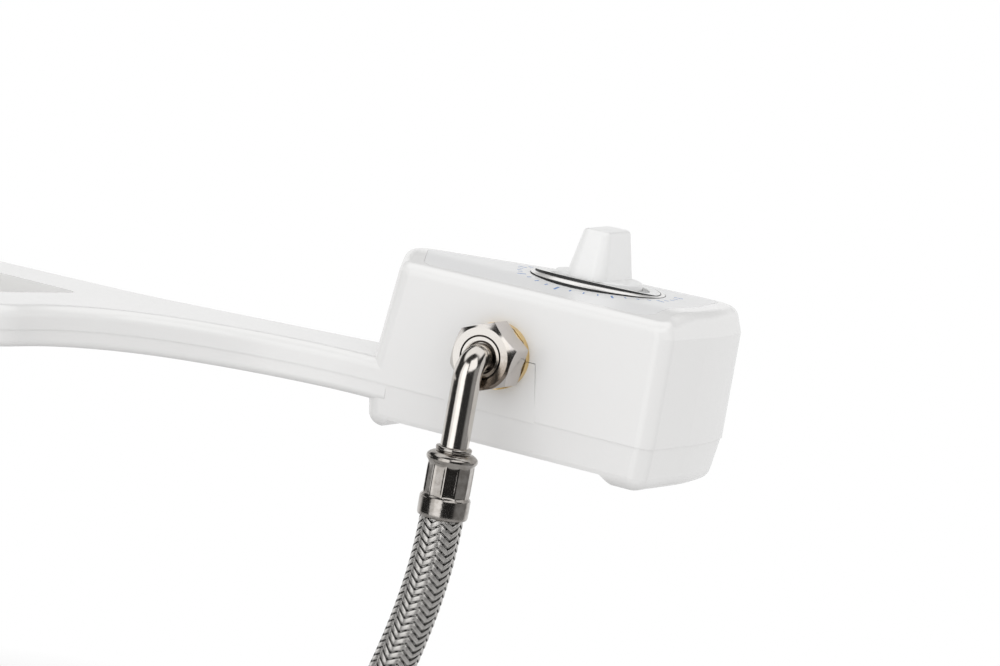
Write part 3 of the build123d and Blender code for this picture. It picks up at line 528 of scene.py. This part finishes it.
fer_place = frame_at((0.270, 0.0144, -0.005), (0, 0, -1))
o_, ex_, ey_ = fer_place(0, 0, 0), fer_place(1, 0, 0), fer_place(1, math.pi / 2, 0)
ex_, ey_ = ex_ - o_, ey_ - o_
# a crimp ridge stands 9 degrees to the left of the view line
ridge_dir = Vector((math.sin(AZ), -math.cos(AZ), 0.0)) * math.cos(math.radians(9)) - right0 * math.sin(math.radians(9))
near_ferrule = ferrule("crimp_ferrule", fer_place, math.atan2(ridge_dir.dot(ey_), ridge_dir.dot(ex_)))
near_ferrule.data.materials.append(metal("nickel_worn", (0.47, 0.445, 0.42), 0.12, 0.16, 0.06, 420.0, 0.5))
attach(near_ferrule, "base")
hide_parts("hose_ferrule")

# ---------------------------------------------------------------- printed scale on the panel label
KNOB_C = Vector((0.285, 0.082, 0.0))
label_ob = NODES["panel_label"]
dg = bpy.context.evaluated_depsgraph_get()
to_world = label_ob.matrix_world
tree = BVHTree.FromPolygons([to_world @ v.co for v in label_ob.data.vertices], [list(q.vertices) for q in label_ob.data.polygons])


def on_label(x, y):
    hit = tree.ray_cast(Vector((x, y, 0.2)), Vector((0, 0, -1)))
    return hit[0]


def inked(rings):
    """Closed thin plates of ink: each ring is a row of (left, right) plan points."""
    vs_, fs_ = [], []
    up_, dn_ = Vector((0, 0, 0.00004)), Vector((0, 0, -0.00006))
    for rows in rings:
        ids = []
        for l_, r_ in rows:
            pl_, pr_ = on_label(*l_), on_label(*r_)
            if pl_ is None or pr_ is None:
                ids = None
                break
            k_ = len(vs_)
            vs_ += [pl_ + up_, pr_ + up_, pr_ + dn_, pl_ + dn_]
            ids.append((k_, k_ + 1, k_ + 2, k_ + 3))
        if not ids:
            continue
        for p_, q_ in zip(ids, ids[1:]):
            for e in range(4):
                fs_.append((p_[e], q_[e], q_[(e + 1) % 4], p_[(e + 1) % 4]))
        fs_.append(tuple(reversed(ids[0])))
        fs_.append(tuple(ids[-1]))
    return vs_, fs_


def polar(r, deg):
    a_ = math.radians(deg)
    return (KNOB_C.x + r * MM * math.cos(a_), KNOB_C.y + r * MM * math.sin(a_))


marks = []
for i in range(0, 25):
    deg = -215.0 + i * 10.0
    long_ = i % 4 == 0
    half = (0.42 if long_ else 0.28)
    r0_, r1_ = 29.2, (32.6 if long_ else 31.0)
    rows = []
    for j in range(5):
        r_ = r0_ + (r1_ - r0_) * j / 4
        d_ = math.degrees(half / r_)
        rows.append((polar(r_, deg - d_), polar(r_, deg + d_)))
    marks.append(rows)
# a wedge that widens along the scale
rows = []
for j in range(61):
    deg = -205.0 + j * 220.0 / 60
    w_ = 0.15 + 1.15 * j / 60
    rows.append((polar(27.9 - 0.5 * w_, deg), polar(27.9 + 0.5 * w_, deg)))
marks.append(rows)
iv, if_ = inked(marks)
scale_print = new_mesh("scale_print", iv, if_, smooth=False)
fix_normals(scale_print)
scale_print.data.materials.append(M_INK)
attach(scale_print, "base")

# ---------------------------------------------------------------- knob bezel: chrome foot, black wall, white top
BEZ_IN, BEZ_TOP_R, BEZ_Z, BEZ_SLOPE = 19.8, 24.2, 57.6, 0.106


def bezel_top_z(r, a_):
    """Height of the bezel's sloping top, level with the label at the user's side."""
    z_ = BEZ_Z - BEZ_SLOPE * r * math.sin(a_)
    t_ = z_ - 57.5
    return 57.5 + 0.5 * (t_ + math.sqrt(t_ * t_ + 0.02))


def bezel_ring(name, rings, mat_, seg=144):
    """Closed ring; each ring of points is (radius, function of the angle that gives the height)."""
    vs_, fs_ = [], []
    for k in range(seg):
        a_ = 2 * math.pi * k / seg
        for r_, fz in rings:
            vs_.append((KNOB_C.x + r_ * MM * math.cos(a_), KNOB_C.y + r_ * MM * math.sin(a_), fz(r_, a_) * MM))
    n_ = len(rings)
    for k in range(seg):
        k2 = (k + 1) % seg
        for j in range(n_):
            j2 = (j + 1) % n_
            fs_.append((k * n_ + j, k2 * n_ + j, k2 * n_ + j2, k * n_ + j2))
    ob_ = new_mesh(name, vs_, fs_)
    fix_normals(ob_)
    ob_.data.set_sharp_from_angle(angle=math.radians(32))
    ob_.data.materials.append(mat_)
    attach(ob_, "base")
    return ob_


def wall_z(f):
    """A height part of the way up the bezel's wall."""
    return lambda r_, a_: 57.0 + f * (bezel_top_z(BEZ_TOP_R, a_) - 57.0)


def flat_z(z_):
    return lambda r_, a_: z_


# black ring at the bezel's foot: a painted shadow line in the gap under the foot
bezel_gap_painted_shadow = bezel_ring("bezel_gap_painted_shadow", [(21.2, flat_z(56.0)), (25.5, flat_z(56.0)), (25.5, wall_z(0.10)), (25.35, wall_z(0.19)), (21.2, wall_z(0.19))],
                       M_BLACK)
bezel_foot = bezel_ring("bezel_foot", [(21.0, wall_z(0.17)), (25.6, wall_z(0.17)), (25.8, wall_z(0.21)), (25.78, wall_z(0.26)),
                                       (25.5, wall_z(0.36)), (24.7, wall_z(0.56)), (24.45, wall_z(0.60)), (24.25, wall_z(0.61)), (21.0, wall_z(0.5))],
                        M_BEZEL)
bezel_wall = bezel_ring("bezel_wall", [(20.3, flat_z(56.05)), (24.0, flat_z(56.05)), (24.22, wall_z(0.55)), (24.2, wall_z(0.95)),
                                       (23.95, lambda r_, a_: bezel_top_z(r_, a_) - 0.03), (20.3, lambda r_, a_: bezel_top_z(r_, a_) - 0.2)],
                        M_BLACK)
bezel_top = bezel_ring("bezel_top", [(19.8, flat_z(56.0)), (20.25, flat_z(56.0)), (20.4, lambda r_, a_: bezel_top_z(r_, a_) - 0.25),
                                     (23.75, lambda r_, a_: bezel_top_z(r_, a_) - 0.12), (23.95, lambda r_, a_: bezel_top_z(r_, a_) - 0.04),
                                     (23.8, lambda r_, a_: bezel_top_z(r_, a_) + 0.05), (23.4, lambda r_, a_: bezel_top_z(r_, a_) + 0.08),
                                     (20.3, lambda r_, a_: bezel_top_z(r_, a_) + 0.08), (19.95, lambda r_, a_: bezel_top_z(r_, a_)),
                                     (19.8, lambda r_, a_: bezel_top_z(r_, a_) - 0.2)],
                       M_KNOB)
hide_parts("trim_ring")

# ---------------------------------------------------------------- stage
vs, fs = lathe([(0.0, 0.0), (0.5, 0.0), (0.95, 0.0)], 96, frame_at((0.15, 0.05, -0.34), (0, 0, 1)))
floor = new_mesh("floor", vs, fs)
floor.data.flip_normals()
mat, nt, b = material("floor_pale", (0.60, 0.60, 0.60), 0.85)
gc = node(nt, "ShaderNodeTexCoord").outputs["Generated"]
off = node(nt, "ShaderNodeVectorMath", operation="SUBTRACT")
off.inputs[1].default_value = (0.5, 0.5, 0.0)
nt.links.new(gc, off.inputs[0])
flat_v = node(nt, "ShaderNodeVectorMath", operation="MULTIPLY")
flat_v.inputs[1].default_value = (1.0, 1.0, 0.0)
nt.links.new(off.outputs[0], flat_v.inputs[0])
length = node(nt, "ShaderNodeVectorMath", operation="LENGTH")
nt.links.new(flat_v.outputs[0], length.inputs[0])
fade = maprange(nt, length.outputs["Value"], 1.0, 0.0, 0.26, 0.485)
front = node(nt, "ShaderNodeMath", operation="SUBTRACT")
front.inputs[0].default_value = 1.0
nt.links.new(node(nt, "ShaderNodeNewGeometry").outputs["Backfacing"], front.inputs[1])
solid_ = node(nt, "ShaderNodeMath", operation="MULTIPLY")
nt.links.new(fade, solid_.inputs[0])
nt.links.new(front.outputs[0], solid_.inputs[1])
nt.links.new(solid_.outputs[0], b.inputs["Alpha"])
floor.data.materials.append(mat)

# Studio: a plain white surround, an even soft light for matt surfaces, and for gloss a dark room with two softboxes
# and a white backdrop. All of it is fixed in the world.
world = bpy.data.worlds.new("studio")
scene.world = world
world.use_nodes = True
world.cycles.sampling_method = "NONE"
wt = world.node_tree
for n in list(wt.nodes):
    wt.nodes.remove(n)


def wmath(op, a_, b_=None, c_=None):
    n_ = wt.nodes.new("ShaderNodeMath")
    n_.operation = op
    for sock, val in zip(n_.inputs, (a_, b_, c_)):
        if val is None:
            continue
        if isinstance(val, (int, float)):
            sock.default_value = val
        else:
            wt.links.new(val, sock)
    return n_.outputs[0]


def wdot(vec, const):
    n_ = wt.nodes.new("ShaderNodeVectorMath")
    n_.operation = "DOT_PRODUCT"
    wt.links.new(vec, n_.inputs[0])
    n_.inputs[1].default_value = const
    return n_.outputs["Value"]


def wstep(val, lo, hi):
    n_ = wt.nodes.new("ShaderNodeMapRange")
    n_.interpolation_type = "SMOOTHSTEP"
    n_.inputs["From Min"].default_value = lo
    n_.inputs["From Max"].default_value = hi
    wt.links.new(val, n_.inputs["Value"])
    return n_.outputs["Result"]


def wbox(val, lo, hi, soft):
    return wmath("MULTIPLY", wstep(val, lo - soft, lo + soft), wmath("SUBTRACT", 1.0, wstep(val, hi - soft, hi + soft)))


wdir = wt.nodes.new("ShaderNodeTexCoord").outputs["Generated"]
az = wmath("MULTIPLY", wmath("ARCTAN2", wdot(wdir, tuple(right0)), wdot(wdir, (math.sin(AZ), -math.cos(AZ), 0.0))), 180 / math.pi)
el = wmath("MULTIPLY", wmath("ARCSINE", wdot(wdir, (0, 0, 1))), 180 / math.pi)
key = wmath("MULTIPLY", wbox(az, -62, -9, 2.0), wbox(el, -32, 48, 3.0))
side = wmath("MULTIPLY", wbox(az, -2, 62, 2.0), wbox(el, 24, 62, 3.0))
backdrop = wmath("MULTIPLY", wstep(wmath("ABSOLUTE", az), 108, 128), wmath("SUBTRACT", 1.0, wstep(el, 15, 22)))
overhead = wmath("MULTIPLY", wstep(wmath("ABSOLUTE", az), 60, 90), wstep(el, 40, 48))
key = wmath("MULTIPLY", key, wmath("ADD", 1.12, wmath("MULTIPLY", wstep(az, -48, -38), 0.43)))
gloss = wmath("ADD", key, wmath("MULTIPLY", side, 1.35))
gloss = wmath("ADD", gloss, wmath("MULTIPLY", overhead, 1.1))
gloss = wmath("ADD", gloss, wmath("MULTIPLY", backdrop, 0.93))
flank = wmath("MULTIPLY", wbox(az, 52, 112, 9.0), wbox(el, -45, 20, 4.0))
gloss = wmath("ADD", gloss, wmath("MULTIPLY", flank, 0.27))
gloss = wmath("ADD", gloss, 0.035)
even = wmath("ADD", wdot(wdir, (0.055, -0.25, 0.16)), 0.812)
lp = wt.nodes.new("ShaderNodeLightPath")


def wmix(fac, a_, b_):
    return wmath("ADD", wmath("MULTIPLY", a_, wmath("SUBTRACT", 1.0, fac)), wmath("MULTIPLY", b_, fac))


level = wmix(lp.outputs["Is Glossy Ray"], even, gloss)
level = wmix(lp.outputs["Is Camera Ray"], level, 1.0)
bg = wt.nodes.new("ShaderNodeBackground")
bg.inputs["Color"].default_value = (1, 1, 1, 1)
wt.links.new(level, bg.inputs["Strength"])
out = wt.nodes.new("ShaderNodeOutputWorld")
wt.links.new(bg.outputs[0], out.inputs["Surface"])

# ---------------------------------------------------------------- return spring
# a coil between the piston and the end cap; the real spring closes up as the nozzle comes out, this one is built at one
# length
TILT = math.radians(50.0)
SP_AX = Vector((0.0, math.cos(TILT), -math.sin(TILT)))
SP_V = SP_AX.cross(Vector((1.0, 0.0, 0.0)))
SP_O = Vector((0.0, 52.0, -8.0))
SP_A, SP_B, SP_TURNS, SP_R, SP_WIRE = 9.8, 39.9, 7.0, 5.85, 0.33
sp_verts, sp_faces = [], []
SP_N, SP_M = 7 * 28, 8
for i in range(SP_N + 1):
    t = i / SP_N
    a = 2 * math.pi * SP_TURNS * t
    out = Vector((1.0, 0.0, 0.0)) * math.cos(a) + SP_V * math.sin(a)
    c = SP_O + SP_AX * (SP_A + SP_WIRE + (SP_B - SP_A - 2 * SP_WIRE) * t) + out * SP_R
    for k in range(SP_M):
        b = 2 * math.pi * k / SP_M
        sp_verts.append((c + out * (SP_WIRE * math.cos(b)) + SP_AX * (SP_WIRE * math.sin(b))) * MM)
for i in range(SP_N):
    for k in range(SP_M):
        k2 = (k + 1) % SP_M
        sp_faces.append((i * SP_M + k, i * SP_M + k2, (i + 1) * SP_M + k2, (i + 1) * SP_M + k))
sp_faces.append(tuple(range(SP_M - 1, -1, -1)))
sp_faces.append(tuple(SP_N * SP_M + k for k in range(SP_M)))
spring_wire = new_mesh("spring_wire", sp_verts, sp_faces)
bm = bmesh.new()
bm.from_mesh(spring_wire.data)
bmesh.ops.recalc_face_normals(bm, faces=bm.faces)
bm.to_mesh(spring_wire.data)
bm.free()
spring_wire.data.materials.append(M_STEEL)
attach(spring_wire, "base")
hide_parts("return_spring")
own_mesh(spring_wire)
